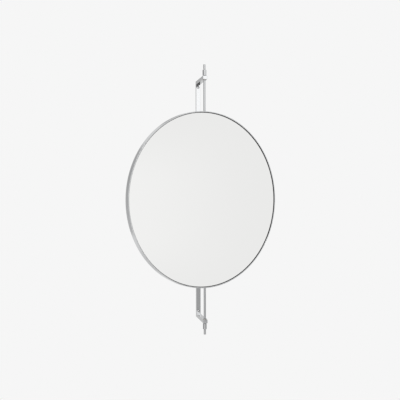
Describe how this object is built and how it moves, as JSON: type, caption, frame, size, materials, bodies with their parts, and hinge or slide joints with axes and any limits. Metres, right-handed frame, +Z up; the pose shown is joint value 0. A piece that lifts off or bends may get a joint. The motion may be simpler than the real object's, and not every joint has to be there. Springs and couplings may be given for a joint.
{
  "type": "pivot wall mirror",
  "caption": "Round mirror in a polished steel ring that turns about a vertical axis on pivot pins between the arms of a C-shaped wall bracket.",
  "frame": {"origin": "middle of the wall rail's flat back face, which lies on the wall", "axes": "+Z up along the rail, +Y into the wall, +X to the right as seen from the room; the mirror's pivot axis is parallel to Z at y = -0.142"},
  "size_m": [0.555, 0.272, 0.919],
  "materials": {
    "bright_steel": "polished",
    "silvered_glass": "silvered float glass",
    "black_rubber": "extruded, matt",
    "hardboard": "pressed fibreboard",
    "foam_tape": "closed-cell foam",
    "nylon": "moulded",
    "spring_steel": "oiled spring steel",
    "zinc_steel": "zinc plated"
  },
  "bodies": {
    "wall_bracket": {"wall_rail": "bright_steel", "upper_arm": "bright_steel", "lower_arm": "bright_steel", "upper_bush": "nylon", "lower_bush": "nylon"},
    "mirror": {"ring_frame": "bright_steel", "mirror_glass": "silvered_glass", "glass_gasket": "black_rubber", "back_panel": "hardboard", "tape_strip_1": "foam_tape", "tape_strip_2": "foam_tape", "tape_strip_3": "foam_tape", "tape_strip_4": "foam_tape", "tape_strip_5": "foam_tape", "panel_tab_1": "bright_steel", "panel_tab_2": "bright_steel", "panel_tab_3": "bright_steel", "panel_tab_4": "bright_steel", "panel_tab_5": "bright_steel", "panel_tab_6": "bright_steel", "panel_screw_1": "zinc_steel", "panel_screw_2": "zinc_steel", "panel_screw_3": "zinc_steel", "panel_screw_4": "zinc_steel", "panel_screw_5": "zinc_steel", "panel_screw_6": "zinc_steel", "upper_stem": "bright_steel", "lower_stem": "bright_steel", "upper_pivot_pin": "bright_steel", "lower_pivot_pin": "bright_steel", "upper_thrust_washer": "bright_steel", "lower_thrust_washer": "bright_steel", "upper_disc_spring": "spring_steel", "lower_disc_spring": "spring_steel", "upper_round_nut": "bright_steel", "lower_round_nut": "bright_steel", "upper_grub_screw": "zinc_steel", "lower_grub_screw": "zinc_steel"}
  },
  "joints": [
    {"name": "mirror_turn", "type": "hinge", "parent": "wall_bracket", "child": "mirror", "pos_m": [0, -0.142, 0], "axis": [0, 0, 1], "range_deg": [-50, 2]}
  ]
}
